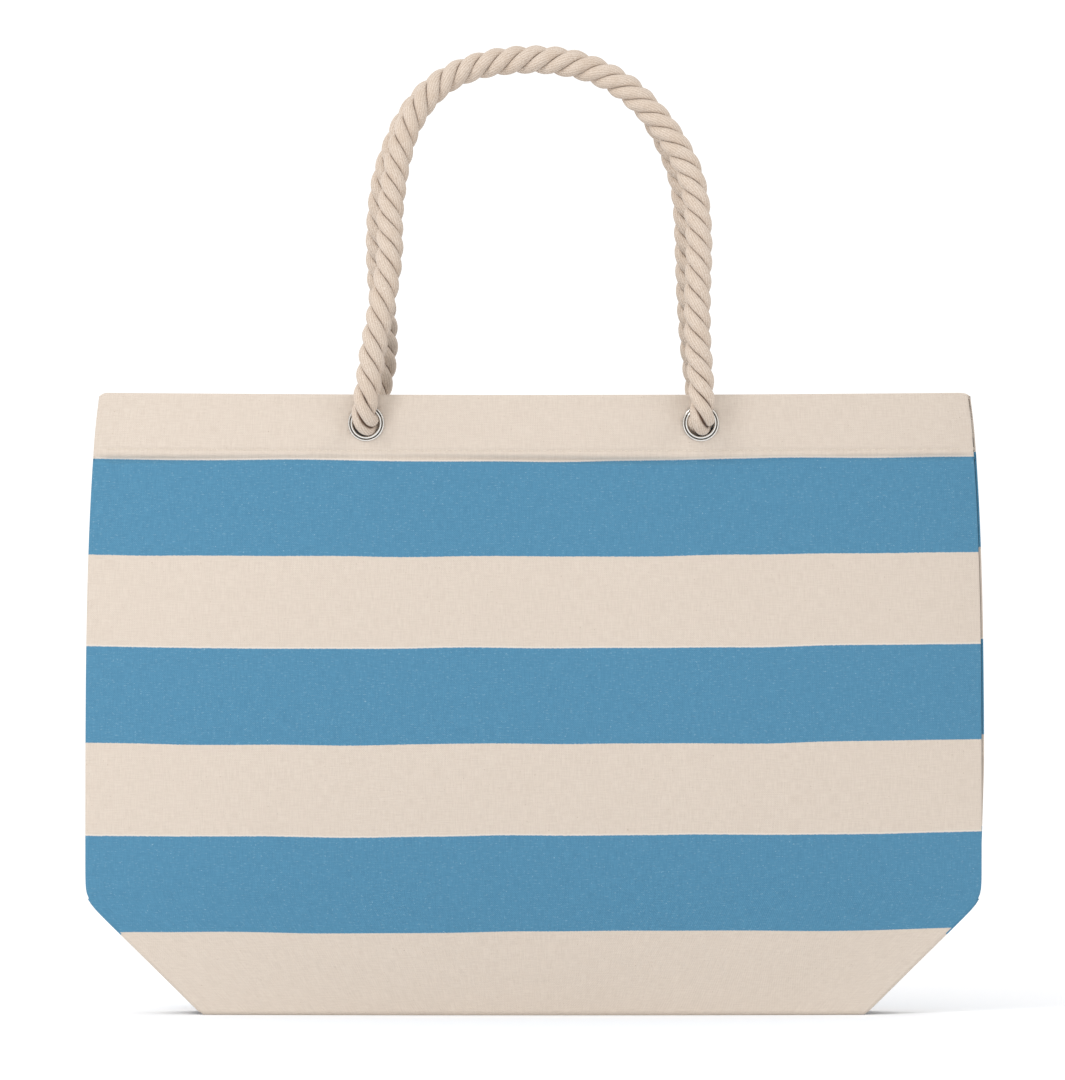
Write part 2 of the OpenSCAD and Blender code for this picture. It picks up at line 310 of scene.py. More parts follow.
BACK_PEEK = 0.0016
BACK_STRIPE_SHIFT = 0.003
RIM_ROLL = 0.0012
RIM_HALF_DEPTH = 0.00125
HEM_DEPTH = 0.0026
HEM_SHARE = 0.985
COLUMNS = 181
EDGE_CURL = [(0.00035, 0.0004), (0.00045, 0.0008), (0.0002, 0.0011)]


def cloth_cut(name, facing, turn):
    """One cut of cloth as a grid of points; facing is -1 for the front and 1 for the back."""
    peek = BACK_PEEK if facing > 0 else 0.0
    shift = BACK_STRIPE_SHIFT if facing > 0 else 0.0
    even = np.linspace(-1, 1, COLUMNS)
    columns = np.sin(even * math.pi / 2) * 0.55 + even * 0.45
    low_zs = np.linspace(0, RIDGE_Z, 25)
    zs = np.concatenate(
        [
            low_zs,
            np.linspace(RIDGE_Z, 0.328, 88)[1:],
            np.linspace(0.328, 0.346, 25)[1:],
            np.linspace(0.346, BODY_H - RIM_ROLL, 12)[1:],
        ]
    )
    rows = []
    coords = []

    def add_row(x, y, z, s, t, bulge=1.0, close=1.0):
        """A row of points with their place in the flat cloth, curled in at both ends to the side seams."""
        ends = []
        for side, at in ((-1, 0), (1, -1)):
            steps = []
            for dx, dy in EDGE_CURL:
                end_x = x[at] + side * dx * bulge
                end_y = max(y[at] - dy * close, SEAM_Y)
                steps.append((end_x, end_y, z[at], s[at] + side * dy, t[at]))
            ends.append(steps[::-1] if side < 0 else steps)
        points = ends[0] + list(zip(x, y, z, s, t)) + ends[1]
        rows.append([(px, facing * py, pz) for px, py, pz, _, _ in points])
        coords.append([(ps, pt) for _, _, _, ps, pt in points])

    one = np.ones_like(columns)
    for z in low_zs[::-1]:
        x = columns * half_w(z)
        slope = GUSSET * float(z) / RIDGE_Z
        s = np.where(np.abs(x) > CORNER_X, np.sign(x) * (CORNER_X + slope), x)
        t = np.where(np.abs(x) > CORNER_X, np.abs(x) - CORNER_X, -slope)
        add_row(x, (gusset_y(z) + 0.0001) * one, z * one, s, t, 0.05, 0.05)
    for z in zs:
        y = panel_y(columns, z) + folds(columns, z, turn) * np.clip(z / 0.03, 0, 1)
        bowed = 0.0018 * (1 - columns**2) * (z / BODY_H) ** 2
        t = z + bowed - 0.0009 * columns - shift * np.clip(z / 0.1, 0, 1)
        spread = peek * np.clip((columns - 0.9) / 0.1, 0, 1) * np.clip((z - 0.1) / 0.05, 0, 1)
        curled = 1 - 0.8 * np.clip((z - 0.350) / 0.020, 0, 1)
        add_row(columns * half_w(z) + spread, y, z - droop(columns, z), columns * HALF_W, t, curled)
    rim = panel_y(columns, BODY_H) + folds(columns, BODY_H, turn)
    for angle in (30, 60, 90, 120, 150):
        a = math.radians(angle)
        add_row(
            columns * half_w(BODY_H) + peek * np.clip((columns - 0.9) / 0.1, 0, 1),
            np.maximum(rim - RIM_HALF_DEPTH * (1 - math.cos(a)), SEAM_Y),
            BODY_H - RIM_ROLL + RIM_ROLL * math.sin(a) - droop(columns, BODY_H),
            columns * HALF_W,
            (BODY_H + RIM_ROLL * a) * one,
            0.15,
        )
    for z in np.linspace(BODY_H - RIM_ROLL, HEM_Z, 14):
        narrow = columns * HEM_SHARE
        x = narrow * half_w(z)
        y = np.maximum(panel_y(narrow, z) + folds(narrow, z, turn) - HEM_DEPTH, SEAM_Y)
        t = (2 * BODY_H - z) * one
        add_row(x, y, z - droop(narrow, z), columns * HALF_W, t, 0.05, 0.05)

    # The sheet's own faces, and those that close the folded corners between the side and the bottom
    across = len(rows[0])
    points = [p for row in rows for p in row]
    uvs = [c for row in coords for c in row]
    faces = []
    for r in range(len(rows) - 1):
        for c in range(across - 1):
            p = r * across + c
            quad = (p, p + 1, p + across + 1, p + across)
            faces.append(quad if facing < 0 else quad[::-1])
    lows = len(low_zs)
    for k in range(lows - 1):
        for c, flip in ((0, False), (across - 1, True)):
            face_low = (lows + k) * across + c
            gusset_low = (lows - 1 - k) * across + c
            quad = (face_low, face_low + across, gusset_low - across, gusset_low)
            faces.append(quad[::-1] if flip == (facing < 0) else quad)

    mesh = bpy.data.meshes.new(name)
    mesh.from_pydata(points, [], faces)
    layer = mesh.uv_layers.new(name="cloth")
    for loop in mesh.loops:
        layer.data[loop.index].uv = uvs[loop.vertex_index]

    # The eyelets' holes: the nearest corners move onto a circle, and the faces inside it go
    cloth = bmesh.new()
    cloth.from_mesh(mesh)
    doomed = set()
    for side in (-1, 1):
        middle = Vector((side * EYELET_X, 0, EYELET_Z))
        for vertex in cloth.verts:
            offset = Vector((vertex.co.x, 0, vertex.co.z)) - middle
            if HOLE_SNAP[0] < offset.length < HOLE_SNAP[1] and vertex.co.z > HEM_Z:
                new = middle + offset.normalized() * EYELET_HOLE_R
                vertex.co.x, vertex.co.z = new.x, new.z
        for face in cloth.faces:
            centre = face.calc_center_median()
            if (Vector((centre.x, 0, centre.z)) - middle).length < EYELET_HOLE_R - 0.0002:
                doomed.add(face)
    bmesh.ops.delete(cloth, geom=list(doomed), context="FACES")
    cloth.to_mesh(mesh)
    cloth.free()
    piece = bpy.data.objects.new(name, mesh)
    bpy.context.scene.collection.objects.link(piece)
    bpy.ops.object.select_all(action="DESELECT")
    bpy.context.view_layer.objects.active = piece
    piece.select_set(True)
    thick = piece.modifiers.new("thickness", "SOLIDIFY")
    thick.thickness = SHEET_T
    thick.offset = -1
    bpy.ops.object.modifier_apply(modifier=thick.name)
    bpy.ops.object.shade_smooth()
    return piece


def weave(shade, uv, pitch):
    """Height of a plain weave whose threads run along u and along v, and v itself."""
    apart = shade.node("SeparateXYZ", Vector=uv)
    u, v = shade.out(apart, 0), shade.out(apart, 1)
    wave_u = shade.maths("SINE", u * (math.pi / pitch))
    wave_v = shade.maths("SINE", v * (math.pi / pitch))
    return (wave_u * wave_v + 1) * 0.5, v


WEAVE_PITCH = 0.00065
STRIPE_PITCH = 0.1135
BLUE_W = 0.0582
FIRST_BLUE = 0.0500
STRIPE_EDGE = 0.00035
CREAM_DARK = (199, 186, 173)
CREAM_PALE = (210, 198, 185)
SEED = (150, 128, 106)
BLUE_DARK = (72, 124, 154)
BLUE_PALE = (81, 135, 165)
FLECK = (150, 182, 198)
SELVEDGE = (222, 214, 205)

canvas, canvas_shader, shade = new_material("striped_canvas", roughness=0.92, sheen=0.08)
uv = shade.out(shade.node("UVMap", {"uv_map": "cloth"}))
weave_height, cloth_t = weave(shade, uv, WEAVE_PITCH)
slub_along = shade.noise(shade.stretch(uv, (130, 1500, 1)), 1.0, 3.0, 0.6)
slub_up = shade.noise(shade.stretch(uv, (1400, 120, 1)), 1.0, 3.0, 0.6)
mottle = shade.noise(uv, 28.0, 3.0, 0.55)
fleck = shade.noise(shade.stretch(uv, (420, 1500, 1)), 1.0, 1.0, 0.5)
seed = shade.noise(shade.stretch(uv, (700, 900, 1)), 1.0, 1.0, 0.5)
ragged = shade.noise(shade.stretch(uv, (900, 60, 1)), 1.0, 2.0, 0.5)
wander = shade.noise(shade.stretch(uv, (8, 4, 1)), 1.0, 1.0, 0.5)
along = cloth_t + (wander - 0.5) * 0.0044 + (ragged - 0.5) * 0.0007
phase = shade.maths("FRACT", (along - FIRST_BLUE) * (1 / STRIPE_PITCH)) * STRIPE_PITCH
from_middle = shade.maths("ABSOLUTE", phase - BLUE_W / 2)
blue_mask = 1 - from_middle.smooth(BLUE_W / 2 - STRIPE_EDGE, BLUE_W / 2 + STRIPE_EDGE)
from_edge = from_middle - (BLUE_W / 2 + 0.0004)
edge_line = 1 - shade.maths("ABSOLUTE", from_edge).smooth(0.0002, 0.0007)
tone = (slub_along + slub_up) * 0.5
yarn_tone = tone.smooth(0.34, 0.66)
cream = yarn_tone.mix(colour4(CREAM_DARK), colour4(CREAM_PALE))
cream = (mottle.smooth(0.3, 0.7) * 0.10).mix(cream, colour4(CREAM_DARK))
cream = (seed.smooth(0.72, 0.80) * 0.5).mix(cream, colour4(SEED))
blue = yarn_tone.mix(colour4(BLUE_DARK), colour4(BLUE_PALE))
blue = (fleck.smooth(0.60, 0.74) * 0.28).mix(blue, colour4(FLECK))
blue = (seed.smooth(0.71, 0.78) * 0.6).mix(blue, colour4(FLECK))
colour = blue_mask.mix(cream, blue)
colour = (edge_line * 0.55).mix(colour, colour4(SELVEDGE))
give_colour(shade, canvas_shader, colour)
give_bump(shade, canvas_shader, weave_height * 0.5 + tone * 0.7, 0.5, 0.00030)

# A side's name, which way it faces along Y, and where its waves start
SIDES = (("front", -1, 0.0), ("back", 1, 2.3))
for side, facing, turn in SIDES:
    cloth = cloth_cut(side + "_cloth", facing, turn)
    cloth.data.materials.append(canvas)
    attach(cloth, "bag")
    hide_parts(side + "_panel", side + "_hem")

# ---- Hem stitching: one row of off-white cotton thread holds the turned-down hem, on the outside
# and on the inside. One stitch is shaped from a small sphere and repeated along the row.
STITCH_LONG = 0.0027
STITCH_GAP = 0.0034
STITCH_R = 0.00026
STITCHED_SHARE = 0.967
INSIDE_ROW_Y = 0.0037
THREAD_DARK = (200, 188, 172)
THREAD_PALE = (224, 214, 200)

cotton_thread, thread_shader, shade = new_material("off_white_thread", roughness=0.8, sheen=0.1)
thread_place = shade.out(shade.node("TexCoord"), "Object")
twist = shade.noise(thread_place, 1800.0, 2.0)
thread_colour = twist.smooth(0.3, 0.7).mix(colour4(THREAD_DARK), colour4(THREAD_PALE))
give_colour(shade, thread_shader, thread_colour)
give_bump(shade, thread_shader, twist, 0.5, 0.0002)

bpy.ops.object.select_all(action="DESELECT")
bpy.ops.mesh.primitive_uv_sphere_add(segments=6, ring_count=7, radius=1)
stitch = bpy.context.object
STITCH_FACES = [tuple(face.vertices) for face in stitch.data.polygons]
STITCH_FORM = np.array([vertex.co for vertex in stitch.data.vertices])
bpy.data.objects.remove(stitch)


def unit(v):
    return v / np.linalg.norm(v, axis=-1, keepdims=True)


def stitch_row(u, facing, turn, inward):
    """The corners of every stitch of a row, one after the other."""
    z = STITCH_Z * np.ones_like(u)
    y = panel_y(u, z) + folds(u, z, turn) - inward
    middle = np.stack([u * half_w(z), facing * y, z - droop(u, z)], axis=1)
    run = unit(np.gradient(middle, axis=0))
    outward = unit(np.cross(run, (0, 0, -facing)) * (-1 if inward else 1))
    up = np.cross(run, outward)
    dip = 0.5 - 1.6 * STITCH_FORM[:, 2] ** 4
    return (
        middle[:, None, :]
        + run[:, None, :] * STITCH_FORM[None, :, 2, None] * STITCH_LONG / 2
        + outward[:, None, :] * (STITCH_FORM[:, 0] + dip)[None, :, None] * STITCH_R
        + up[:, None, :] * STITCH_FORM[None, :, 1, None] * STITCH_R
    )


def mesh_piece(name, verts, faces, smooth=True):
    mesh = bpy.data.meshes.new(name)
    mesh.from_pydata(verts, [], faces)
    mesh.polygons.foreach_set("use_smooth", np.full(len(faces), smooth))
    piece = bpy.data.objects.new(name, mesh)
    bpy.context.scene.collection.objects.link(piece)
    return piece


def point_outwards(piece):
    bpy.ops.object.select_all(action="DESELECT")
    bpy.context.view_layer.objects.active = piece
    piece.select_set(True)
    bpy.ops.object.mode_set(mode="EDIT")
    bpy.ops.mesh.select_all(action="SELECT")
    bpy.ops.mesh.normals_make_consistent(inside=False)
    bpy.ops.object.mode_set(mode="OBJECT")


for side, facing, turn in SIDES:
    count = int(2 * STITCHED_SHARE * MOUTH_HALF_W / STITCH_GAP)
    across = np.linspace(-STITCHED_SHARE, STITCHED_SHARE, count)
    outside = stitch_row(across, facing, turn, 0.0)
    inside = stitch_row(across + 0.5 * STITCH_GAP / MOUTH_HALF_W, facing, turn, INSIDE_ROW_Y)
    verts = np.concatenate([outside, inside]).reshape(-1, 3)
    faces = []
    for k in range(2 * count):
        faces += [tuple(i + k * len(STITCH_FORM) for i in face) for face in STITCH_FACES]
    stitches = mesh_piece(side + "_hem_stitches", verts.tolist(), faces)
    point_outwards(stitches)
    stitches.data.materials.append(cotton_thread)
    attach(stitches, "bag")
    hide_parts(side + "_hem_stitching")

# ---- Seams: inside the bag the two cuts' raw edges stand together as a narrow strip of double
# canvas at each side, along the ridge of the bottom and over each folded corner, overlocked with thread.
SEAM_W = 0.010
LAYER_PAIR = 0.0009
OVERLOCK_PITCH = 0.0026
OVERLOCK_R = 0.00026
SEAM_PROFILE = [
    (0.0, -1.0), (0.3, -1.0), (0.6, -1.0), (0.95, -1.0), (1.0, -0.6), (1.0, -0.2), (0.96, 0.0),
    (1.0, 0.2), (1.0, 0.6), (0.95, 1.0), (0.6, 1.0), (0.3, 1.0), (0.0, 1.0),
]
OVERLOCK_PATH = [
    (0.48, 1.2), (0.76, 1.25), (1.03, 0.4), (1.03, -0.4), (0.76, -1.25), (0.48, -1.2), (0.76, -1.25),
    (1.03, -0.4), (1.03, 0.4), (0.76, 1.25),
]


def tube_faces(rings, sides, base=0):
    """Faces of a tube whose corners go ring by ring, with a cap at each end."""
    faces = []
    for i in range(rings - 1):
        p = base + i * sides
        for k in range(sides):
            q = (k + 1) % sides
            faces.append((p + k, p + q, p + sides + q, p + sides + k))
    faces.append(tuple(base + k for k in range(sides))[::-1])
    faces.append(tuple(base + (rings - 1) * sides + k for k in range(sides)))
    return faces


def swept_tube(points, radius, sides):
    """Corners and faces of a thin closed tube along points."""
    tangent = unit(np.gradient(points, axis=0))
    helper = np.array([0.31, 0.87, 0.38])
    normal = unit(np.cross(tangent, helper))
    side = np.cross(tangent, normal)
    a = np.linspace(0, 2 * math.pi, sides, endpoint=False)
    rings = points[:, None, :] + radius * (
        np.cos(a)[None, :, None] * normal[:, None, :] + np.sin(a)[None, :, None] * side[:, None, :]
    )
    return rings.reshape(-1, 3), tube_faces(len(points), sides)


def allowance(name, edge, inward, across, width, uv_start, uv_in, node):
    """A strip of double canvas along edge, standing out along inward, with its overlock thread."""
    run = np.concatenate([[0], np.cumsum(np.linalg.norm(np.diff(edge, axis=0), axis=1))])
    width = width * np.ones(len(edge))
    ruffle = 0.00025 * np.sin(run * 520)
    verts, uvs = [], []
    for i in range(len(edge)):
        for w, t in SEAM_PROFILE:
            reach = w * width[i]
            verts.append(tuple(edge[i] + inward[i] * reach + across[i] * (t * LAYER_PAIR + ruffle[i] * w)))
            uvs.append((uv_start[i][0] + uv_in[0] * reach, uv_start[i][1] + uv_in[1] * reach))
    faces = tube_faces(len(edge), len(SEAM_PROFILE))
    strip = mesh_piece(name + "_allowance", verts, faces, smooth=False)
    layer = strip.data.uv_layers.new(name="cloth")
    for loop in strip.data.loops:
        layer.data[loop.index].uv = uvs[loop.vertex_index]
    point_outwards(strip)
    strip.data.materials.append(canvas)
    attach(strip, "bag")
    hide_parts(node)

    cycles = int(run[-1] / OVERLOCK_PITCH)
    steps = len(OVERLOCK_PATH)
    marks = (np.arange(cycles * steps) + 0.5) / (cycles * steps) * run[-1]
    lift = np.array([OVERLOCK_PATH[i % steps] for i in range(cycles * steps)])

    def at(values):
        return np.stack([np.interp(marks, run, values[:, k]) for k in range(3)], axis=1)

    wide = np.interp(marks, run, width)[:, None]
    thread = at(edge) + at(inward) * lift[:, :1] * wide + at(across) * lift[:, 1:] * LAYER_PAIR
    verts, faces = swept_tube(thread, OVERLOCK_R, 5)
    overlock = mesh_piece(name + "_overlock", verts.tolist(), faces)
    point_outwards(overlock)
    overlock.data.materials.append(cotton_thread)
    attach(overlock, "bag")


SEAM_FOOT = RIDGE_Z + 0.0006
for hand, sign in (("left", -1), ("right", 1)):
    z = np.linspace(SEAM_FOOT, HEM_Z - 0.002, 90)
    nil = np.zeros_like(z)
    x = half_w(z) - 0.004
    edge = np.stack([sign * x, nil, z], axis=1)
    inward = np.tile((-sign, 0.0, 0.0), (len(z), 1))
    across = np.tile((0.0, 1.0, 0.0), (len(z), 1))
    uv_start = np.stack([sign * x, z], axis=1)
    allowance(hand + "_side_seam", edge, inward, across, SEAM_W, uv_start, (-sign, 0), hand + "_side_seam")

    low_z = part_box(hand + "_corner_seam")[0][2] + 0.004
    slope_z = np.linspace(low_z, SEAM_FOOT, 16)
    half = np.stack([gusset_y(slope_z) + 0.0016 * (SEAM_FOOT - slope_z) / SEAM_FOOT, slope_z], axis=1)
    yz = np.vstack([half, (half * (-1, 1))[-2::-1]])
    swing = np.radians(np.concatenate([np.linspace(4, 90, 16), np.linspace(90, 176, 16)[1:]]))
    edge = np.stack([np.full(len(yz), sign * (CORNER_X - SEAM_INSET)), yz[:, 0], yz[:, 1]], axis=1)
    inward = np.stack([0 * swing, np.cos(swing), np.sin(swing)], axis=1)
    across = np.tile((1.0, 0.0, 0.0), (len(yz), 1))
    width = 0.0035 + 0.0058 * np.sin(swing)
    uv_start = np.stack([yz[:, 0], np.full(len(yz), -0.1)], axis=1)
    allowance(hand + "_corner", edge, inward, across, width, uv_start, (0, 1), hand + "_corner_seam")

x = np.linspace(*(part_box("bottom_seam")[k][0] for k in (0, 1)), 90)
edge = np.stack([x, 0 * x, 0 * x + SEAM_FOOT], axis=1)
inward = np.tile((0.0, 0.0, 1.0), (len(x), 1))
across = np.tile((0.0, 1.0, 0.0), (len(x), 1))
uv_start = np.stack([x, np.full(len(x), -0.075)], axis=1)
allowance("bottom", edge, inward, across, SEAM_W, uv_start, (0, -1), "bottom_seam")

# ---- Rope: three cotton strands laid up left-handed, each spun from yarns that turn the other way.
# Every strand is a tube that winds about the rope's own line.
ROPE_D = 0.015
LAY = 0.0360
STRAND_R = 0.00368
STRAND_OFF = 0.00405
STRAND_SIDES = 20
ROPE_STEP = 0.0016
HANDLE_PLUMP = 0.06
PLUMP_FROM = 0.020
PLUMP_OVER = 0.030


def smooth_line(points, step):
    """The points of a smooth curve through the given ones, one every step."""
    p = np.array(points, float)
    p = np.vstack([2 * p[0] - p[1], p, 2 * p[-1] - p[-2]])
    fine = []
    for i in range(1, len(p) - 2):
        for f in np.linspace(0, 1, 24, endpoint=False):
            a = 2 * p[i] + (p[i + 1] - p[i - 1]) * f
            b = (2 * p[i - 1] - 5 * p[i] + 4 * p[i + 1] - p[i + 2]) * f**2
            c = (3 * p[i] - p[i - 1] - 3 * p[i + 1] + p[i + 2]) * f**3
            fine.append((a + b + c) / 2)
    fine.append(p[-2])
    fine = np.array(fine)
    run = np.concatenate([[0], np.cumsum(np.linalg.norm(np.diff(fine, axis=0), axis=1))])
    marks = np.linspace(0, run[-1], max(2, int(run[-1] / step) + 1))
    return np.stack([np.interp(marks, run, fine[:, k]) for k in range(3)], axis=1), marks


def carried_frame(line, first):
    """Two directions square to the line that turn as little as they can along it."""
    tangent = unit(np.gradient(line, axis=0))
    normal = np.zeros_like(line)
    n = np.array(first, float)
    for i, t in enumerate(tangent):
        n = n - t * np.dot(n, t)
        n /= np.linalg.norm(n)
        normal[i] = n
    return normal, np.cross(tangent, normal)


def twisted_rope(name, points, first, turn=0.0, thick=1.0, plump_by=0.0):
    """A three-strand rope along points, closed at both ends, with its yarns' coordinates as UVs."""
    line, run = smooth_line(points, ROPE_STEP)
    normal, side = carried_frame(line, first)
    verts, faces, uvs = [], [], []
    for strand in range(3):
        angle = turn + 2 * math.pi * (strand / 3 - run / LAY)
        out = np.cos(angle)[:, None] * normal + np.sin(angle)[:, None] * side
        from_end = np.minimum(run, run[-1] - run)
        swell = thick * (1 + plump_by * np.clip((from_end - PLUMP_FROM) / PLUMP_OVER, 0, 1))[:, None]
        centre = line + out * STRAND_OFF * swell
        along = unit(np.gradient(centre, axis=0))
        out = unit(out - along * np.sum(out * along, axis=1, keepdims=True))
        across = np.cross(along, out)
        a = np.linspace(0, 2 * math.pi, STRAND_SIDES, endpoint=False)
        plump = swell[:, :, None] * STRAND_R * (1 + 0.012 * np.sin(run * 900 + strand * 2)[:, None, None])
        ring = np.cos(a)[None, :, None] * out[:, None, :] + np.sin(a)[None, :, None] * across[:, None, :]
        tube = centre[:, None, :] + ring * plump
        faces += tube_faces(len(line), STRAND_SIDES, len(verts))
        verts.extend(tube.reshape(-1, 3).tolist())
        for i in range(len(line) - 1):
            for k in range(STRAND_SIDES):
                u0, u1 = k / STRAND_SIDES, (k + 1) / STRAND_SIDES
                uvs += [(u0, run[i]), (u1, run[i]), (u1, run[i + 1]), (u0, run[i + 1])]
        uvs += [(0.5, run[0])] * STRAND_SIDES + [(0.5, run[-1])] * STRAND_SIDES
    rope = mesh_piece(name, verts, faces)
    layer = rope.data.uv_layers.new(name="yarn")
    layer.data.foreach_set("uv", np.array(uvs, np.float32).ravel())
    return rope, line


YARNS = 16
YARN_LEAN = -33
ROPE_DARK = (184, 166, 149)
ROPE_PALE = (218, 204, 190)
ROPE_TAN = (186, 164, 142)
# painted shade for the grooves between the strands
ROPE_GROOVE_SHADE = (88, 58, 34)

rope_material, rope_shader, shade = new_material("cotton_rope", roughness=0.9, sheen=0.15)
yarn_uv = shade.out(shade.node("UVMap", {"uv_map": "yarn"}))
apart = shade.node("SeparateXYZ", Vector=yarn_uv)
around, length = shade.out(apart, 0), shade.out(apart, 1)
place = shade.out(shade.node("TexCoord"), "Object")
lean = around * (YARNS * 2 * math.pi) + length * (YARNS * 2 * math.pi * YARN_LEAN)
wobble = shade.noise(place, 260.0, 2.0) * 3.0
yarn = shade.maths("SINE", lean + wobble) * 0.5 + 0.5
fuzz = shade.noise(place, 1500.0, 3.0, 0.6)
patch = shade.noise(place, 90.0, 2.0)
rope_tone = (yarn * 0.16 + fuzz * 0.84).smooth(0.30, 0.70)
rope_colour = rope_tone.mix(colour4(ROPE_DARK), colour4(ROPE_PALE))
rope_colour = (patch.smooth(0.4, 0.75) * 0.25).mix(rope_colour, colour4(ROPE_TAN))
# Painted shade in the grooves: dark only beside the line where strands meet, so that a bent rope shows no
# dark core; a noise breaks the painted shade up
outward = shade.maths("ABSOLUTE", around - 0.5)
shade_break = shade.noise(place, 140.0, 2.0)
groove_shade = outward.smooth(0.130, 0.185) * (1 - outward.smooth(0.218, 0.292))
rope_colour = (groove_shade * (shade_break * 0.5 + 0.7)).mix(rope_colour, colour4(ROPE_GROOVE_SHADE))
give_colour(shade, rope_shader, rope_colour)
give_bump(shade, rope_shader, yarn * 0.35 + fuzz * 0.9, 0.55, 0.00045)

PIVOT_Y = 0.055
# Each handle's line from eyelet to eyelet, in millimetres: across, inward from the pivot, up from it
FRONT_ROUTE = [
    (-101, 0, 0), (-99, 0, 20), (-96, 1, 42), (-92, 4, 64), (-88, 8, 85), (-86, 12, 104),
    (-86, 17, 124), (-84, 22, 143), (-81, 27, 160), (-76, 32, 177), (-67, 37, 193), (-54, 42, 206),
    (-38, 45, 214), (-19, 46, 218), (2, 46, 219), (20, 46, 217), (38, 45, 212), (55, 41, 202),
    (72, 36, 186), (85, 30, 168), (94, 24, 149), (98, 18, 128), (99, 12, 104), (98, 6, 78),
    (98, 2, 51), (100, 0, 24), (101, 0, 0),
]
BACK_ROUTE = [
    (-101, 0, 0), (-95, 0, 20), (-91, 1, 42), (-91, 4, 63), (-93, 8, 85), (-94, 13, 108),
    (-93, 19, 130), (-90, 25, 150), (-84, 31, 168), (-76, 36, 185), (-63, 41, 201), (-46, 44, 212),
    (-24, 46, 219), (0, 46, 221), (22, 46, 219), (42, 45, 212), (60, 41, 201), (73, 36, 186),
    (83, 30, 168), (90, 23, 149), (93, 17, 128), (94, 11, 105), (95, 6, 79), (97, 2, 51),
    (100, 0, 24), (101, 0, 0),
]


# From inside the bag through an eyelet and up, in millimetres: across, out from the middle, up
ELBOW = [
    (98.9, 38.0, 355.0), (99.5, 43.0, 355.0), (100.2, 48.5, 355.6), (100.9, 53.2, 359.3),
    (100.8, 55.0, 366.0),
]


def handle_line(route, facing):
    """Out of the left eyelet, round the elbow, over the top and back into the right eyelet."""
    loop = [(x, facing * (PIVOT_Y * 1000 - inward), EYELET_Z * 1000 + up) for x, inward, up in route]
    left = [(-x, facing * y, z) for x, y, z in ELBOW]
    right = [(x, facing * y, z) for x, y, z in ELBOW[::-1]]
    return np.array(left + loop[1:-1] + right) / 1000


for side, facing, route, turn in (("front", -1, FRONT_ROUTE, 0.6), ("back", 1, BACK_ROUTE, 2.1)):
    points = handle_line(route, facing)
    rope, line = twisted_rope(side + "_rope_handle", points, (0, 0, 1), turn, plump_by=HANDLE_PLUMP)
    rope.data.materials.append(rope_material)
    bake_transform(rope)
    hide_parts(side + "_handle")

# ---- Stopper knots: behind each eyelet the rope's end is wrapped round itself, drawn tight and left
# with a short tail, which is bound with thread so that the strands can't fray.
KNOT_TURNS = 1.45
KNOT_COIL_R = 8.3
KNOT_THICK = 0.95
EYELET_ROOT_Y = 0.0455
TAIL_BACK = 0.0363
BINDING_DOWN = 0.0300
BINDING_WRAPS = 9
BINDING_THREAD_R = 0.00055
BINDING_PITCH = 0.00104


def knot_line():
    """A rope end as (aside, up, inward from the cloth) in millimetres."""
    line = [(0.0, 0.0, 6.0), (0.5, 1.0, 9.0), (3.0, 4.0, 12.0)]
    for i in range(12):
        f = i / 11
        a = math.radians(55 + 360 * KNOT_TURNS * f)
        line.append((KNOT_COIL_R * math.cos(a), KNOT_COIL_R * math.sin(a), 12.5 + 9.5 * f))
    line += [(-1.5, -2.0, 29.0), (0.0, -10.0, 35.0)]
    line += [(0.0, down, TAIL_BACK * 1000) for down in (-20.0, -30.0, -42.0)]
    return line


for side, facing in (("front", -1), ("back", 1)):
    for hand, sign in (("left", -1), ("right", 1)):
        turn = EYELET_TURN * sign
        ahead = np.array([math.sin(turn), facing * math.cos(turn), 0])
        aside = np.array([math.cos(turn), -facing * math.sin(turn), 0])
        root = np.array([sign * EYELET_X, facing * EYELET_ROOT_Y, EYELET_Z])
        up = np.array([0, 0, 1.0])
        points = [root + (a * aside + b * up - c * ahead) / 1000 for a, b, c in knot_line()]
        name = f"{side}_{hand}_stopper_knot"
        knot, _ = twisted_rope(name, points, (0, 0, 1), 0.9 * sign, KNOT_THICK)
        knot.data.materials.append(rope_material)
        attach(knot, "bag")
        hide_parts(f"{side}_{hand}_knot")

        tail = root - ahead * TAIL_BACK - up * BINDING_DOWN
        bpy.ops.object.select_all(action="DESELECT")
        bpy.ops.mesh.primitive_torus_add(
            major_segments=40,
            minor_segments=8,
            major_radius=ROPE_D / 2 + 0.0001,
            minor_radius=BINDING_THREAD_R,
            location=tuple(tail),
        )
        binding = bpy.context.object
        binding.name = f"{side}_{hand}_thread_binding"
        wraps = binding.modifiers.new("wraps", "ARRAY")
        wraps.count = BINDING_WRAPS
        wraps.use_relative_offset = False
        wraps.use_constant_offset = True
        wraps.constant_offset_displace = (0, 0, -BINDING_PITCH)
        bpy.ops.object.modifier_apply(modifier=wraps.name)
        bpy.ops.object.transform_apply(location=True, rotation=True, scale=True)
        bpy.ops.object.shade_smooth()
        binding.data.materials.append(cotton_thread)
        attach(binding, "bag")
        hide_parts(f"{side}_{hand}_binding")

# ---- Eyelets: nickel-plated brass, a rolled flange in front with its barrel through both layers of
# cloth, clinched over a flat washer behind. Each is spun from its rolled profile.
NICKEL_DARK = (214, 212, 208)
NICKEL_PALE = (236, 234, 230)
# the two darker colours are painted shade for the eyelet's pressed groove
GROOVE_SHADE_DARK = (84, 79, 73)
GROOVE_SHADE_PALE = (118, 113, 106)

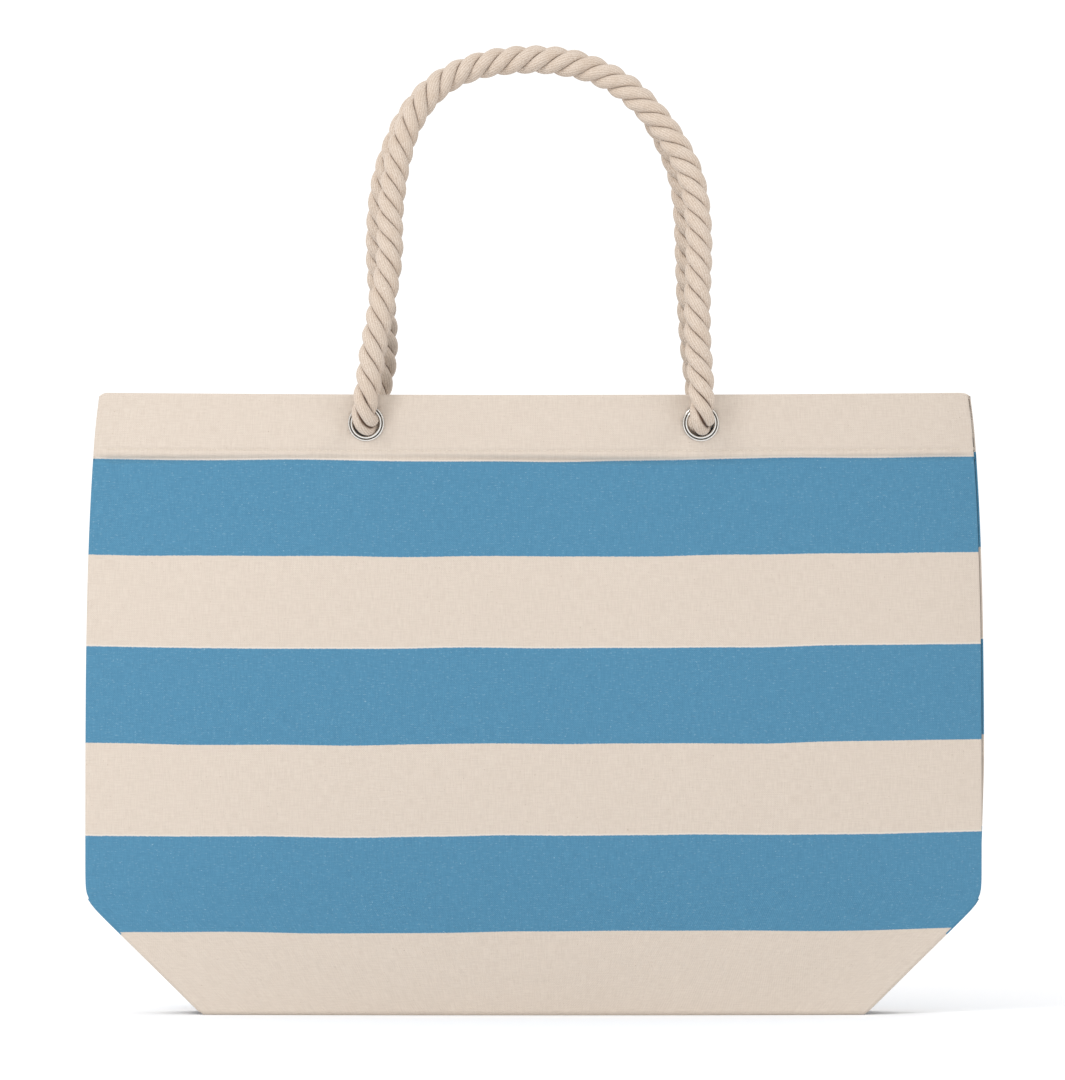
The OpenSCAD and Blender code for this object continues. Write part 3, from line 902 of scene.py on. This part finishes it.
nickel, nickel_shader, shade = new_material("nickel_plate", roughness=0.16, metallic=1.0)
metal_place = shade.out(shade.node("TexCoord"), "Object")
scuff = shade.noise(metal_place, 900.0, 3.0, 0.6)
rough = scuff.smooth(0.3, 0.8) * 0.08 + 0.08
shade.tree.links.new(rough.socket, nickel_shader.inputs["Roughness"])
give_colour(shade, nickel_shader, scuff.mix(colour4(NICKEL_DARK), colour4(NICKEL_PALE)))
give_bump(shade, nickel_shader, scuff, 0.04, 0.00004)

# A darker nickel for the pressed groove's faces: painted shade, varied by a noise
groove_shade_metal, groove_shade_shader, shade = new_material("nickel_painted_groove_shade", roughness=0.45, metallic=1.0)
metal_place = shade.out(shade.node("TexCoord"), "Object")
groove_shade_tone = shade.noise(metal_place, 700.0, 2.0)
give_colour(shade, groove_shade_shader, groove_shade_tone.mix(colour4(GROOVE_SHADE_DARK), colour4(GROOVE_SHADE_PALE)))

BORE_R = 0.0080
FLANGE_R = 0.0109
GROOVE_R = BORE_R + 0.00165
GROOVE_HALF_W = 0.00026
GROOVE_FLOOR = 0.0001


def spun_ring(name, profile, steps=72):
    """A closed profile of (radius, height) points, spun about the upright axis."""
    bpy.ops.object.select_all(action="DESELECT")
    bpy.ops.mesh.primitive_circle_add(vertices=len(profile), radius=0.01)
    ring = bpy.context.object
    ring.name = name
    for vertex, (r, h) in zip(ring.data.vertices, profile):
        vertex.co = (r, 0, h)
    bpy.ops.object.mode_set(mode="EDIT")
    bpy.ops.mesh.select_all(action="SELECT")
    bpy.ops.mesh.spin(steps=steps, angle=2 * math.pi, center=(0, 0, 0), axis=(0, 0, 1))
    bpy.ops.mesh.select_all(action="SELECT")
    bpy.ops.mesh.remove_doubles(threshold=0.00001)
    bpy.ops.mesh.normals_make_consistent(inside=False)
    bpy.ops.object.mode_set(mode="OBJECT")
    bpy.ops.object.shade_smooth()
    return ring


def arc(r, h, radius, start, end, count):
    """Points of an arc round (r, h), from start to end in degrees."""
    angles = [math.radians(start + (end - start) * i / (count - 1)) for i in range(count)]
    return [(r + radius * math.cos(a), h + radius * math.sin(a)) for a in angles]


# From the bore's mouth: the fat inner roll, the pressed groove, the thin outer rim and the barrel
FLANGE = (
    arc(BORE_R + 0.00070, 0.00085, 0.00070, 180, -20, 10)
    + [(GROOVE_R - 0.00015, 0.00025), (GROOVE_R + 0.00015, 0.00025)]
    + arc(FLANGE_R - 0.00052, 0.00060, 0.00050, 190, -60, 9)
    + [(FLANGE_R - 0.0006, 0.00005), (BORE_R + 0.0008, 0.00005), (BORE_R + 0.0006, -0.0002)]
    + [(BORE_R + 0.0006, -0.0034)]
    + arc(BORE_R + 0.0014, -0.0036, 0.0008, 170, -90, 7)
    + [(BORE_R + 0.0006, -0.00445), (BORE_R, -0.0040)]
)
# A flat washer with rounded edges
WASHER = (
    arc(BORE_R + 0.0014, -0.0030, 0.0003, 90, 270, 4)
    + arc(FLANGE_R - 0.0006, -0.0030, 0.0003, -90, 90, 5)
)

for side, facing in (("front", -1), ("back", 1)):
    for hand, sign in (("left", -1), ("right", 1)):
        for what, profile in (("eyelet", FLANGE), ("washer", WASHER)):
            ring = spun_ring(f"{side}_{hand}_nickel_{what}", profile)
            ring.data.materials.append(nickel)
            ring.data.materials.append(groove_shade_metal)
            # Faces in the pressed groove take the darker nickel: painted shade
            for face in ring.data.polygons:
                off_groove = abs(math.hypot(face.center.x, face.center.y) - GROOVE_R)
                face.material_index = int(off_groove < GROOVE_HALF_W and face.center.z > GROOVE_FLOOR)
            ring.rotation_euler = (-facing * math.pi / 2, 0, -facing * sign * EYELET_TURN)
            ring.location = (sign * EYELET_X, facing * EYELET_ROOT_Y, EYELET_Z)
            bpy.ops.object.transform_apply(location=True, rotation=True, scale=True)
            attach(ring, "bag")
            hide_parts(f"{side}_{hand}_{what}")
